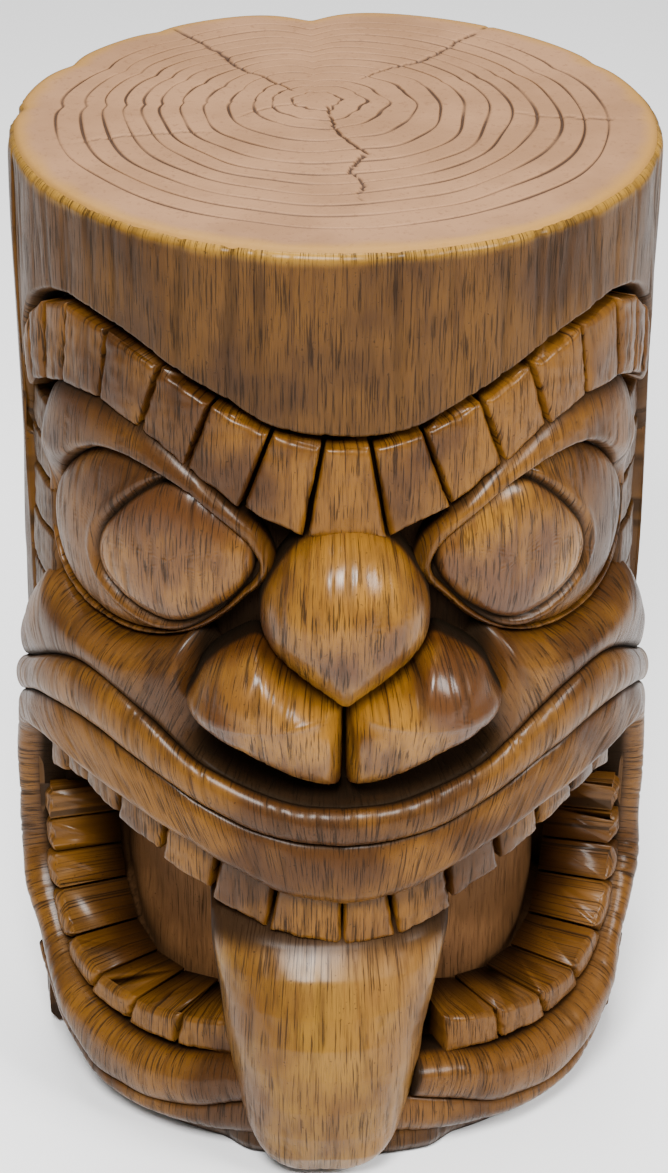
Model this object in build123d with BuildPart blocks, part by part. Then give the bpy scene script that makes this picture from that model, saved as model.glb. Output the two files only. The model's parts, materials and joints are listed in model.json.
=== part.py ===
from build123d import *
import os
from math import cos, radians, sin, tan

# Tiki head stool: a hollow moulded log with a carved-look face set into its front half.
# Millimetres, +Z up, the face looks along -Y. The origin is on the log's axis, on the
# surface that the foot pads stand on.

# Log shell, moulded in two halves that meet at the sides
height = 508.0
top_radius = 159.0
base_radius = 152.0
wall = 14.0
rim_lift = 2.0  # the rim stays off the ground: the pads carry the stool
disc_radius = 150.0
disc_thickness = 16.0
disc_round = 1.5
stiffener_radius = 144.0
stiffener_thickness = 12.0
stiffener_bore = 60.0
strap_width = 44.0
strap_thickness = 6.0
strap_low = 68.0
strap_high = 466.0

# Foot: a thicker ring with a rebate for the base plate
foot_inner_radius = 124.0
foot_height = 40.0
plate_radius = 138.0
plate_bottom = 6.0
plate_thickness = 10.0
pad_radius = 13.0
pad_circle = 105.0  # round one pad in the middle
pad_count = 4
screw_circle = 131.0
screw_count = 6
screw_radius = 2.0
screw_head_radius = 4.0
screw_head_height = 2.4
screw_length = 24.0

# Face: a pocket in the front half, with the mouth cut right through it
pocket_radius = 138.0
face_back_radius = 118.0
pad_top = 470.0
pad_stop = 24.0  # the pad behind the face stops this far in front of the seam
face_stop = 30.0  # and the pocket and its pieces this far
lining_thickness = 8.0
lining_low = 48.0
lining_high = 238.0
lining_stop = 26.0  # the lining stops this far in front of the seam
mouth_reach = 60.0  # the mouth is cut this far in front of the axis and outwards
root_height = 10.0  # how far the upper teeth reach up behind the lip
dowel_radius = 6.0
dowel_length = 46.0
tongue_dowel_height = 100.0
nose_dowel_height = 322.0

# How far out from the axis each piece of the face stands
brow_radius = 156.0
temple_floor_radius = 146.0
temple_block_radius = 153.0
eyelid_radius = 151.0
eyeball_radius = 156.0
iris_radius = 160.0
iris_seat = 147.0
bridge_radius = 186.0
nostril_radius = 180.0
cheek_radius = 162.0
fold_radius = 165.0
lip_radius = 167.0
upper_tooth_radius = 154.0
lower_tooth_radius = 152.0
lower_lip_radius = 163.0
chin_radius = 158.0
joint_gap = 0.4  # glue line between neighbouring pieces
bridge_crown = 62.0  # radius of the ball that rounds the bridge
nostril_crown = 66.0
clear_radius = 230.0  # cuts and prisms reach out this far, past every piece
loft_shares = (0.8, 1.1)  # a block is lofted from this share of its inner radius to this of its outer

# Brow blocks: the cuts between them, as (degrees, height) at the top and at the bottom
brow_cuts = [
    ((4.2, 408), (7.2, 361)),
    ((13.3, 413), (18.4, 374)),
    ((24.0, 425), (28.7, 390)),
    ((34.0, 437), (38.2, 403)),
    ((46.0, 447), (47.6, 410)),
    ((57.0, 450), (58.5, 408)),
    ((65.0, 442), (65.5, 402)),
    ((72.0, 428), (70.5, 396)),
    ((76.5, 410), (74.0, 388)),
]
brow_gap = 0.8  # degrees, at each side of a block

# Temple blocks: where they meet, from the brow down, and the angles they lie between
temple_cuts = [382, 364, 345, 325, 299, 277]
temple_angles = (66.0, 79.0)
temple_recess_start = 58.0
temple_gap = 1.5

# Upper teeth: the cuts between them in degrees, and how far they show below the lip
upper_tooth_cuts = [0.0, 9.5, 19.0, 28.5, 37.5, 46.0, 53.5, 60.5]
upper_tooth_height = 30.0
tooth_gap = 0.8  # degrees round the log and millimetres up it, at each side of a tooth

# Lower teeth: where the cuts between them start at the gum and end at the crown
lower_tooth_cuts = [
    ((21, 66), (22, 80)),
    ((30, 64), (29, 79)),
    ((39, 66), (37, 84)),
    ((48, 77), (43, 93)),
    ((55, 93), (48, 105)),
    ((60, 112), (53, 119)),
    ((63, 131), (56, 135)),
    ((65, 152), (57, 151)),
]

# Right half of each outline as seen from the front, as (x, height)
forehead_edge = [(0, 414), (27, 417), (54, 431), (79, 447), (101, 460), (121, 466), (137, 458), (152, 425)]
pocket_side = [(152, 425), (153, 403), (149, 388), (134, 380)]
pocket_waist = [(134, 278), (146, 263), (159, 246)]
pocket_jaw = [(159, 246), (160, 160), (157, 95), (150, 55), (128, 29), (98, 18), (0, 18)]
lip_edge = [(0, 166), (29, 171), (57, 181), (84, 194), (108, 207), (128, 214), (145, 212), (159, 200)]
lip_groove = [(0, 186), (29, 190), (57, 201), (84, 215), (108, 229), (128, 236), (146, 234), (159, 221)]
fold_groove = [(0, 205), (29, 211), (57, 228), (84, 250), (104, 262), (125, 264), (142, 256), (159, 242)]
mouth_floor = [(151, 200), (145, 160), (138, 118), (124, 84), (102, 67), (78, 62), (0, 61)]
lower_lip_top = [(55, 60), (78, 57), (102, 62), (124, 79), (138, 112), (145, 150), (150, 199)]
lower_lip_outside = [(159, 199), (157, 120), (150, 78), (140, 48), (124, 36), (96, 31), (70, 34), (46, 41)]
chin_bottom = [(30, 23), (55, 20), (78, 19), (100, 21), (124, 30), (140, 48)]
eye_edge = [
    (43, 342),
    (60, 371),
    (80, 382),
    (98, 387),
    (113, 382),
    (125, 368),
    (130, 345),
    (125, 311),
    (112, 296),
    (96, 292),
    (74, 296),
    (56, 309),
]
eyelid_edge = [
    (36, 343),
    (50, 368),
    (76, 386),
    (99, 394),
    (121, 390),
    (131, 370),
    (133, 345),
    (131, 316),
    (122, 296),
    (110, 288),
    (96, 285),
    (74, 289),
    (60, 314),
    (46, 319),
]
iris_edge = [
    (45, 341),
    (57, 357),
    (68, 369),
    (83, 376),
    (97, 365),
    (107, 350),
    (110, 332),
    (103, 312),
    (90, 304),
]
iris_bottom = [(90, 304), (74, 305), (58, 318), (45, 341)]
bridge_side = [(0, 359), (18, 353), (33, 340), (37, 325), (32, 306), (16, 290), (0, 281)]
nostril_edge = [(0.8, 279), (16, 288), (33, 304), (46, 311), (61, 305), (72, 290), (77, 272), (73, 262)]
nostril_bottom = [(73, 262), (60, 260), (31, 246), (14, 236), (4, 232), (0.8, 238)]
tongue_left = [(-62, 141), (-63, 131), (-60, 105), (-54, 58), (-40, 30), (-20, 14), (-3, 10)]
tongue_right = [(-3, 10), (14, 15), (28, 30), (38, 58), (47, 105), (54, 131), (54, 141)]
tongue_front = [(130, 158), (154, 142), (174, 118), (184, 94), (185, 66), (180, 36), (174, 18), (166, 4)]
cheek_top = [(73, 262), (78, 272), (74, 285), (94, 283), (110, 286), (122, 294), (130, 303)]
cheek_side = [(130, 303), (132, 280), (145, 262), (159, 242)]
nose_seat = [(0, 232), (14, 235), (31, 245), (60, 259), (73, 262)]

half_turn = 180.0


def log_radius(level):
    return base_radius + (top_radius - base_radius) * level / height


def wall_radius(level):
    """Inside radius of the log's wall, above the foot."""
    low, high = foot_height + wall, height - disc_thickness
    return base_radius - wall + (top_radius - base_radius) * (level - low) / (high - low)


def facing(angle):
    """Plane through the axis that faces outwards, at an angle from the front."""
    out = (sin(radians(angle)), -cos(radians(angle)), 0)
    side = (cos(radians(angle)), sin(radians(angle)), 0)
    return Plane(origin=(0, 0, 0), x_dir=side, z_dir=out)


def ring(inner, outer, low=0.0, high=height):
    """Plain ring about the axis, from one height to another."""
    with BuildPart(mode=Mode.PRIVATE) as made:
        with BuildSketch(Plane.XY.offset(low)):
            Circle(outer)
            if inner:
                Circle(inner, mode=Mode.SUBTRACT)
        extrude(amount=high - low)
    return made.part


def outline(*runs):
    """Closed face from runs of points: two points make a straight edge, more make a curve."""
    with BuildSketch(mode=Mode.PRIVATE) as made:
        with BuildLine():
            for points in runs:
                if len(points) == 2:
                    Line(*points)
                else:
                    Spline(*points)
        make_face()
    return made.sketch


def loop(points):
    """Closed face inside one smooth loop of points."""
    with BuildSketch(mode=Mode.PRIVATE) as made:
        with BuildLine():
            Spline(*points, periodic=True)
        make_face()
    return made.sketch


def both(face):
    """A right half and its mirror image as one face."""
    with BuildSketch(mode=Mode.PRIVATE) as made:
        add(face)
        mirror(about=Plane.YZ)
    return made.sketch


def flipped(face):
    """The mirror image of a face of the right half."""
    with BuildSketch(mode=Mode.PRIVATE) as made:
        add(face)
        mirror(about=Plane.YZ, mode=Mode.REPLACE)
    return made.sketch


def prism(face, near=face_stop):
    """Prism through the front of the log, from an outline as seen from the front."""
    with BuildPart(mode=Mode.PRIVATE) as made:
        with BuildSketch(facing(0).offset(near)):
            add(face)
        extrude(amount=clear_radius - near)
    return made.part


def carved(face, inner, outer):
    """Piece of the face: its outline cut from a ring about the log's axis."""
    return prism(face) & ring(inner, outer)


def domed(face, inner, outer, crown):
    """Piece with a crowned front: its outline, cut to a ball whose front stands at outer."""
    middle = face.bounding_box().center()
    with BuildPart(mode=Mode.PRIVATE) as ball:
        with Locations((middle.X, crown - outer, middle.Y)):
            Sphere(crown)
    return (prism(face) - ring(0, inner)) & ball.part


def block(corners, inner, outer):
    """Block with radial sides on the log: its corners are (degrees, height)."""
    middle = sum(angle for angle, _ in corners) / len(corners)
    with BuildPart(mode=Mode.PRIVATE) as made:
        for reach in (loft_shares[0] * inner, loft_shares[1] * outer):
            places = [(reach * tan(radians(angle - middle)), level) for angle, level in corners]
            with BuildSketch(facing(middle).offset(reach)):
                with BuildLine():
                    Polyline(*places, close=True)
                make_face()
        loft(ruled=True)
        add(ring(inner, outer), mode=Mode.INTERSECT)
    return made.part


def turned(corners, side):
    """Corners for the right side (1) or for its mirror image on the left side (-1)."""
    return [(side * angle, level) for angle, level in corners][::side]


def height_on(run, across):
    """Height of an outline's run at a distance across the face."""
    for (x0, z0), (x1, z1) in zip(run, run[1:]):
        if x0 <= across <= x1:
            return z0 + (z1 - z0) * (across - x0) / (x1 - x0)
    return run[-1][1]


def save(shape, name):
    shape.label = name
    export_step(shape, f"parts/{name}.step")


# Outlines of the pocket, of the mouth and of the pieces that the mouth is cut for
pocket_half = outline(
    forehead_edge,
    pocket_side,
    [pocket_side[-1], pocket_waist[0]],
    pocket_waist,
    pocket_jaw[:-1],
    pocket_jaw[-2:],
    [pocket_jaw[-1], forehead_edge[0]],
)
mouth_top = [(across, level + root_height) for across, level in lip_edge[:-1]] + [mouth_floor[0]]
mouth_half = outline(mouth_top, mouth_floor[:-1], mouth_floor[-2:], [mouth_floor[-1], mouth_top[0]])
mouth = both(mouth_half)
screw_spots = PolarLocations(screw_circle, screw_count, start_angle=half_turn / screw_count)
outer_pads = PolarLocations(pad_circle, pad_count, start_angle=half_turn / pad_count)
pad_spots = [Location((0, 0, 0)), *outer_pads.locations]

with BuildPart() as tongue_dowel:
    with BuildSketch(facing(0).offset(face_back_radius - lining_thickness)):
        with Locations((0, tongue_dowel_height)):
            Circle(dowel_radius)
    extrude(amount=dowel_length)

with BuildPart() as nose_dowel:
    with BuildSketch(facing(0).offset(face_back_radius - lining_thickness)):
        with Locations((0, nose_dowel_height)):
            Circle(dowel_radius)
    extrude(amount=dowel_length)

# The whole log: a tapered wall, with the disc's rebate above and the base plate's below
with BuildPart() as log_wall:
    with BuildSketch(Plane.XZ):
        with BuildLine():
            Polyline(
                (log_radius(rim_lift), rim_lift),
                (top_radius, height),
                (disc_radius, height),
                (disc_radius, height - disc_thickness),
                (top_radius - wall, height - disc_thickness),
                (base_radius - wall, foot_height + wall),
                (foot_inner_radius, foot_height),
                (foot_inner_radius, plate_bottom + plate_thickness),
                (plate_radius, plate_bottom + plate_thickness),
                (plate_radius, rim_lift),
                close=True,
            )
        make_face()
    revolve(axis=Axis.Z)
    with BuildSketch(Plane.XY.offset(plate_bottom + plate_thickness)):
        with Locations(*screw_spots.locations):
            Circle(screw_radius)
    extrude(amount=screw_length - plate_thickness, mode=Mode.SUBTRACT)

with BuildPart() as back_shell:
    add(log_wall.part)
    split(bisect_by=Plane.XZ, keep=Keep.BOTTOM)

# Front half: the same wall, thickened behind the face, with the pocket and the mouth cut in
with BuildPart() as face_pad:
    with BuildSketch(Plane.XY.offset(foot_height)):
        Circle(temple_floor_radius)
        Circle(face_back_radius, mode=Mode.SUBTRACT)
        with Locations((0, top_radius - pad_stop)):
            Rectangle(2 * top_radius, 2 * top_radius, mode=Mode.SUBTRACT)
    extrude(amount=pad_top - foot_height)

# Inside the log
with BuildPart() as top_disc:
    with BuildSketch(Plane.XY.offset(height - disc_thickness)):
        Circle(disc_radius - joint_gap)
    extrude(amount=disc_thickness)
    fillet(top_disc.faces().sort_by(Axis.Z)[-1].edges(), disc_round)

with BuildPart() as top_stiffener:
    with BuildSketch(Plane.XY.offset(height - disc_thickness - stiffener_thickness)):
        Circle(stiffener_radius)
        Circle(stiffener_bore, mode=Mode.SUBTRACT)
    extrude(amount=stiffener_thickness)

# Straps over the seams, curved and tapered like the wall that they are glued to
with BuildPart() as seam_straps:
    with BuildSketch(Plane.XZ):
        with BuildLine():
            Polyline(
                (wall_radius(strap_low) - strap_thickness, strap_low),
                (wall_radius(strap_low), strap_low),
                (wall_radius(strap_high), strap_high),
                (wall_radius(strap_high) - strap_thickness, strap_high),
                close=True,
            )
        make_face()
    revolve(axis=Axis.Z)
    with BuildSketch(Plane.XY):
        Rectangle(2 * top_radius, strap_width)
    extrude(amount=height, mode=Mode.INTERSECT)

with BuildPart() as base_plate:
    with BuildSketch(Plane.XY.offset(plate_bottom)):
        Circle(plate_radius - joint_gap)
    extrude(amount=plate_thickness)
    with BuildSketch(Plane.XY.offset(plate_bottom)):
        with Locations(*screw_spots.locations):
            Circle(screw_radius)
    extrude(amount=plate_thickness, mode=Mode.SUBTRACT)
    with BuildSketch(Plane.XY.offset(plate_bottom)):
        with Locations(*screw_spots.locations):
            Circle(screw_head_radius)
    extrude(amount=screw_head_height, mode=Mode.SUBTRACT)

with BuildPart() as base_screws:
    with BuildSketch(Plane.XY.offset(plate_bottom)):
        with Locations(*screw_spots.locations):
            Circle(screw_radius)
    extrude(amount=screw_length)
    with BuildSketch(Plane.XY.offset(plate_bottom)):
        with Locations(*screw_spots.locations):
            Circle(screw_head_radius)
    extrude(amount=screw_head_height)

with BuildPart() as foot_pads:
    with BuildSketch(Plane.XY):
        with Locations(*pad_spots):
            Circle(pad_radius)
    extrude(amount=plate_bottom)

# Behind the mouth: a curved lining that carries the teeth and the tongue
with BuildPart() as mouth_lining:
    add(ring(face_back_radius - lining_thickness, face_back_radius, lining_low, lining_high))
    with BuildSketch(Plane.XY.offset(lining_low)):
        with Locations((0, -top_radius - lining_stop)):
            Rectangle(2 * top_radius, 2 * top_radius)
    extrude(amount=lining_high - lining_low, mode=Mode.INTERSECT)
    add(tongue_dowel.part, mode=Mode.SUBTRACT)

# Lips, cheeks and chin: bands that lie side by side on the pocket's floor
lip_half = outline(
    lip_edge,
    [lip_edge[-1], lip_groove[-1]],
    lip_groove[::-1],
    [lip_groove[0], lip_edge[0]],
)
fold_half = outline(
    lip_groove,
    [lip_groove[-1], fold_groove[-1]],
    fold_groove[::-1],
    [fold_groove[0], lip_groove[0]],
)
cheek_half = outline(
    fold_groove,
    cheek_side[::-1],
    cheek_top[::-1],
    nose_seat[::-1],
    [nose_seat[0], fold_groove[0]],
)
lower_lip_half = outline(
    lower_lip_top,
    [lower_lip_top[-1], lower_lip_outside[0]],
    lower_lip_outside,
    [lower_lip_outside[-1], lower_lip_top[0]],
)
chin_half = outline(
    lower_lip_outside[3:],
    [lower_lip_outside[-1], chin_bottom[0]],
    chin_bottom,
)

with BuildPart() as upper_lip:
    add(carved(both(lip_half), pocket_radius, lip_radius))

with BuildPart() as lip_fold:
    add(carved(both(fold_half), pocket_radius, fold_radius))

with BuildPart() as lower_lip_right:
    add(carved(lower_lip_half, pocket_radius, lower_lip_radius))

with BuildPart() as lower_lip_left:
    add(carved(flipped(lower_lip_half), pocket_radius, lower_lip_radius))

with BuildPart() as chin_right:
    add(carved(chin_half, pocket_radius, chin_radius))

with BuildPart() as chin_left:
    add(carved(flipped(chin_half), pocket_radius, chin_radius))

# Nose: a bridge and two nostrils, crowned
bridge_face = both(outline(bridge_side, [bridge_side[-1], bridge_side[0]]))
with BuildPart() as nose_bridge:
    add(domed(bridge_face, pocket_radius, bridge_radius, bridge_crown))
    add(nose_dowel.part, mode=Mode.SUBTRACT)

nostril_half = outline(nostril_edge, nostril_bottom, [nostril_bottom[-1], nostril_edge[0]])
with BuildPart() as nostril_right:
    add(domed(nostril_half, pocket_radius, nostril_radius, nostril_crown))

with BuildPart() as nostril_left:
    add(domed(flipped(nostril_half), pocket_radius, nostril_radius, nostril_crown))

with BuildPart() as cheek_fold:
    add(carved(both(cheek_half), pocket_radius, cheek_radius))
    add(nostril_left.part, mode=Mode.SUBTRACT)
    add(nostril_right.part, mode=Mode.SUBTRACT)

# Eyes: a lid all round, a bulging eyeball, and the iris standing proud of it
eye_face = loop(eye_edge)
iris_face = outline(iris_edge, iris_bottom)
with BuildPart() as eyelid_right:
    add(carved(loop(eyelid_edge) - eye_face, pocket_radius, eyelid_radius))
    add(cheek_fold.part, mode=Mode.SUBTRACT)
    add(nostril_right.part, mode=Mode.SUBTRACT)

with BuildPart() as eyeball_right:
    add(carved(eye_face, pocket_radius, eyeball_radius))
    add(prism(iris_face) - ring(0, iris_seat), mode=Mode.SUBTRACT)
    add(nostril_right.part, mode=Mode.SUBTRACT)

with BuildPart() as iris_right:
    add(carved(iris_face, iris_seat, iris_radius))

with BuildPart() as eyelid_left:
    add(eyelid_right.part)
    mirror(about=Plane.YZ, mode=Mode.REPLACE)

with BuildPart() as eyeball_left:
    add(eyeball_right.part)
    mirror(about=Plane.YZ, mode=Mode.REPLACE)

with BuildPart() as iris_left:
    add(iris_right.part)
    mirror(about=Plane.YZ, mode=Mode.REPLACE)

# Tongue: a front outline and a side profile together, hollowed to fit the lining, the
# pocket's floor and the log behind it
tongue_face = outline(tongue_left, tongue_right, [tongue_right[-1], tongue_left[0]])
with BuildPart() as tongue:
    with BuildSketch(Plane.YZ):
        with BuildLine():
            Spline(*[(-reach, level) for reach, level in tongue_front])
            Line((-tongue_front[-1][0], tongue_front[-1][1]), (0, tongue_front[-1][1]))
            Line((0, tongue_front[-1][1]), (0, tongue_front[0][1]))
            Line((0, tongue_front[0][1]), (-tongue_front[0][0], tongue_front[0][1]))
        make_face()
    extrude(amount=top_radius, both=True)
    add(prism(tongue_face), mode=Mode.INTERSECT)
    add(ring(0, face_back_radius), mode=Mode.SUBTRACT)
    add(ring(0, pocket_radius, 0, mouth_floor[-1][1]), mode=Mode.SUBTRACT)
    add(ring(0, log_radius(pocket_jaw[-1][1]) + joint_gap, 0, pocket_jaw[-1][1]), mode=Mode.SUBTRACT)
    add(tongue_dowel.part, mode=Mode.SUBTRACT)

# The lower lip and the chin stop beside the tongue, and the chin stops at the lip
for chin, lip in ((chin_left, lower_lip_left), (chin_right, lower_lip_right)):
    with lip:
        add(prism(tongue_face), mode=Mode.SUBTRACT)
    with chin:
        add(prism(tongue_face), mode=Mode.SUBTRACT)
        add(lip.part, mode=Mode.SUBTRACT)

pieces = {
    "back_shell": back_shell.part,
    "top_disc": top_disc.part,
    "top_stiffener": top_stiffener.part,
    "seam_straps": seam_straps.part,
    "base_plate": base_plate.part,
    "base_screws": base_screws.part,
    "foot_pads": foot_pads.part,
    "mouth_lining": mouth_lining.part,
    "tongue_dowel": tongue_dowel.part,
    "nose_dowel": nose_dowel.part,
    "upper_lip": upper_lip.part,
    "lip_fold": lip_fold.part,
    "cheek_fold": cheek_fold.part,
    "lower_lip_left": lower_lip_left.part,
    "lower_lip_right": lower_lip_right.part,
    "chin_left": chin_left.part,
    "chin_right": chin_right.part,
    "nose_bridge": nose_bridge.part,
    "nostril_left": nostril_left.part,
    "nostril_right": nostril_right.part,
    "eyelid_left": eyelid_left.part,
    "eyelid_right": eyelid_right.part,
    "eyeball_left": eyeball_left.part,
    "eyeball_right": eyeball_right.part,
    "iris_left": iris_left.part,
    "iris_right": iris_right.part,
    "tongue": tongue.part,
}

# Brow blocks: one in the middle, then eight to each side
(centre_top, centre_high), (centre_bottom, centre_low) = brow_cuts[0]
keystone = [
    (-centre_top + brow_gap, centre_high),
    (centre_top - brow_gap, centre_high),
    (centre_bottom - brow_gap, centre_low),
    (-centre_bottom + brow_gap, centre_low),
]
pieces["brow_block_centre"] = block(keystone, pocket_radius, brow_radius)
for number, (near, far) in enumerate(zip(brow_cuts, brow_cuts[1:]), start=1):
    corners = [
        (near[0][0] + brow_gap, near[0][1]),
        (far[0][0] - brow_gap, far[0][1]),
        (far[1][0] - brow_gap, far[1][1]),
        (near[1][0] + brow_gap, near[1][1]),
    ]
    for name, side in (("left", -1), ("right", 1)):
        pieces[f"brow_block_{name}_{number}"] = block(turned(corners, side), pocket_radius, brow_radius)

# Temple blocks, and both rows of teeth: each side is one group of separate blocks
for name, side in (("left", -1), ("right", 1)):
    temple = []
    for high, low in zip(temple_cuts, temple_cuts[1:]):
        (first, last), top, bottom = temple_angles, high - temple_gap, low + temple_gap
        corners = [(first, top), (last, top), (last, bottom), (first, bottom)]
        temple.append(block(turned(corners, side), temple_floor_radius, temple_block_radius))
    pieces[f"temple_blocks_{name}"] = Compound(children=temple)

    upper = []
    for near, far in zip(upper_tooth_cuts, upper_tooth_cuts[1:]):
        edges = [near + tooth_gap, far - tooth_gap]
        levels = [height_on(lip_edge, upper_tooth_radius * sin(radians(edge))) for edge in edges]
        corners = [
            (edges[0], levels[0] + root_height - joint_gap),
            (edges[1], levels[1] + root_height - joint_gap),
            (edges[1], levels[1] - upper_tooth_height),
            (edges[0], levels[0] - upper_tooth_height),
        ]
        tooth = block(turned(corners, side), face_back_radius, upper_tooth_radius)
        upper.append(tooth - upper_lip.part - tongue.part)
    pieces[f"upper_teeth_{name}"] = Compound(children=upper)

    lower = []
    for (near_gum, near_crown), (far_gum, far_crown) in zip(lower_tooth_cuts, lower_tooth_cuts[1:]):
        corners = [
            (near_gum[0] + tooth_gap, near_gum[1] + tooth_gap),
            (far_gum[0] + tooth_gap / 2, far_gum[1] - tooth_gap),
            (far_crown[0], far_crown[1] - tooth_gap),
            (near_crown[0] + tooth_gap / 2, near_crown[1] + tooth_gap),
        ]
        tooth = block(turned(corners, side), face_back_radius, lower_tooth_radius)
        lower.append(tooth - tongue.part)
    pieces[f"lower_teeth_{name}"] = Compound(children=lower)

# Front half of the log: thickened behind the face, with the pocket, the mouth and the temple
# recesses cut in, and with seats for every block that stands in it
with BuildPart() as front_shell:
    add(log_wall.part)
    split(bisect_by=Plane.XZ, keep=Keep.TOP)
    add(face_pad.part)
    add(prism(both(pocket_half)) - ring(0, pocket_radius), mode=Mode.SUBTRACT)
    add(prism(mouth, near=mouth_reach), mode=Mode.SUBTRACT)
    for side in (-1, 1):
        corners = [
            (temple_recess_start, temple_cuts[-1]),
            (temple_angles[1], temple_cuts[-1]),
            (temple_angles[1], temple_cuts[0]),
            (temple_recess_start, temple_cuts[0]),
        ]
        add(block(turned(corners, side), temple_floor_radius, clear_radius), mode=Mode.SUBTRACT)
    for name, shape in pieces.items():
        if name.startswith(("brow_block", "upper_teeth", "lower_teeth", "tongue", "nose_dowel")):
            add(shape, mode=Mode.SUBTRACT)
pieces["front_shell"] = front_shell.part

os.makedirs("parts", exist_ok=True)
for name, shape in pieces.items():
    save(shape, name)
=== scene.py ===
import json

import bmesh
import bpy
import numpy as np
from mathutils import Matrix, Vector


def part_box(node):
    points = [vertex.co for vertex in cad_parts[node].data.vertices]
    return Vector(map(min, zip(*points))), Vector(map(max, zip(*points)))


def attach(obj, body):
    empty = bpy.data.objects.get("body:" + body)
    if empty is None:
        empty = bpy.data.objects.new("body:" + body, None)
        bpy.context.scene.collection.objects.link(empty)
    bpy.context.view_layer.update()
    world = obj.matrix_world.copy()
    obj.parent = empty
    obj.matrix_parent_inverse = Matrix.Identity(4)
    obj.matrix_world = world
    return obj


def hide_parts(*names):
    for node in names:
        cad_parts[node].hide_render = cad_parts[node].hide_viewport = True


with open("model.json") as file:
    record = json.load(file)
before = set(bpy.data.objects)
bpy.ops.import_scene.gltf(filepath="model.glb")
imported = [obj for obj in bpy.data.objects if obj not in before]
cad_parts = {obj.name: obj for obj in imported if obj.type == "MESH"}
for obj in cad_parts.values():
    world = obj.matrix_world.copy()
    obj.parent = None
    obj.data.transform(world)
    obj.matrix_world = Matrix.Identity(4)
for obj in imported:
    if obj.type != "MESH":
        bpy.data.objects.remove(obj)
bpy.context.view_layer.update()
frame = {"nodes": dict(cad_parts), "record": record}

# The stool is drawn in millimetres and degrees: an angle runs round the log from the middle of the face
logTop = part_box("top_disc")[1][2]
logHeight = 508.0
mm = logTop / logHeight
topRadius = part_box("back_shell")[1][0] / mm
baseRadius = topRadius - 7.0
wallTop = 505.6  # the log wall ends just under the log end's face
faceSide = 81.0  # the carved face ends here, at each side
faceFloor = 140.0
carvingBack = 136.0  # how far from the axis the backs of most carvings lie
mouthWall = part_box("mouth_lining")[0][1] / -mm  # how far in front of the axis the mouth's back wall stands
degree = 2.7  # one degree round the log's wall, in millimetres
sides = {"Left": -1, "Right": 1}


def curve(points, count, closed=False):
    # a smooth line through the points, cut into even steps
    p = np.array(points, float)
    p = np.vstack([p[-1:], p, p[:2]]) if closed else np.vstack([2 * p[:1] - p[1:2], p, 2 * p[-1:] - p[-2:-1]])
    t = np.linspace(0, 1, 24, endpoint=False)[:, None]
    runs = []
    for a, b, c, d in zip(p, p[1:], p[2:], p[3:]):
        bend = 2 * a - 5 * b + 4 * c - d
        twist = 3 * b - a - 3 * c + d
        runs.append(0.5 * (2 * b + (c - a) * t + bend * t**2 + twist * t**3))
    runs.append(runs[0][:1] if closed else p[-2:-1])
    q = np.vstack(runs)
    length = np.concatenate([[0], np.cumsum(np.linalg.norm(np.diff(q, axis=0), axis=1))])
    at = np.linspace(0, length[-1], count, endpoint=not closed)
    return np.stack([np.interp(at, length, q[:, k]) for k in range(p.shape[1])], 1)


def both(half, count):
    # a line from the left end to the right end, given its right half from the middle outwards
    right = curve(half, count)
    return np.vstack([right[:0:-1] * (-1, 1), right])


def ease(value, low, high):
    t = np.clip((value - low) / (high - low), 0, 1)
    return t * t * (3 - 2 * t)


def rough(a, b, seed, size=1.0):
    # slow uneven waves, mostly from -1 to 1
    rng = np.random.default_rng(seed)
    total = 0
    for k in range(5):
        turn, phase, pace = rng.uniform(0, 6.28), rng.uniform(0, 6.28), rng.uniform(0.6, 1.8) / size
        total = total + np.sin((a * np.cos(turn) + b * np.sin(turn)) * pace + phase)
    return total / 3.2


def onLog(angle, level, reach):
    turn = np.radians(angle)
    return np.stack([reach * np.sin(turn), -reach * np.cos(turn), level + 0 * reach], -1)


def distance(a, b, line):
    # how many millimetres a point of the log is from the nearest point of a line
    away = np.full(np.shape(a), 1e3)
    for lineA, lineB in line:
        away = np.minimum(away, np.hypot((a - lineA) * degree, b - lineB))
    return away


def ahead(across, level, reach):
    return np.stack([across + 0 * reach, -reach, level + 0 * reach], -1)


def logReach(level):
    return baseRadius + (topRadius - baseRadius) * level / logHeight


def opening(near, glazeAndShadeWidth):
    # how open to light and wear a surface is, from 0 at a joint to 1 some way from it: painted shade in
    # joints and creases, together with the dark glaze that stays there
    return (ease(near, -0.5, glazeAndShadeWidth * 0.5) + ease(near, 0, glazeAndShadeWidth * 1.6)) / 2


def logGrain(points):
    # the fibre of the log: across it round the wall, and along it upwards
    grain = np.zeros(points.shape)
    grain[..., 0] = np.arctan2(points[..., 0], -points[..., 1]) * 155
    grain[..., 1] = points[..., 2]
    return grain


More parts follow.
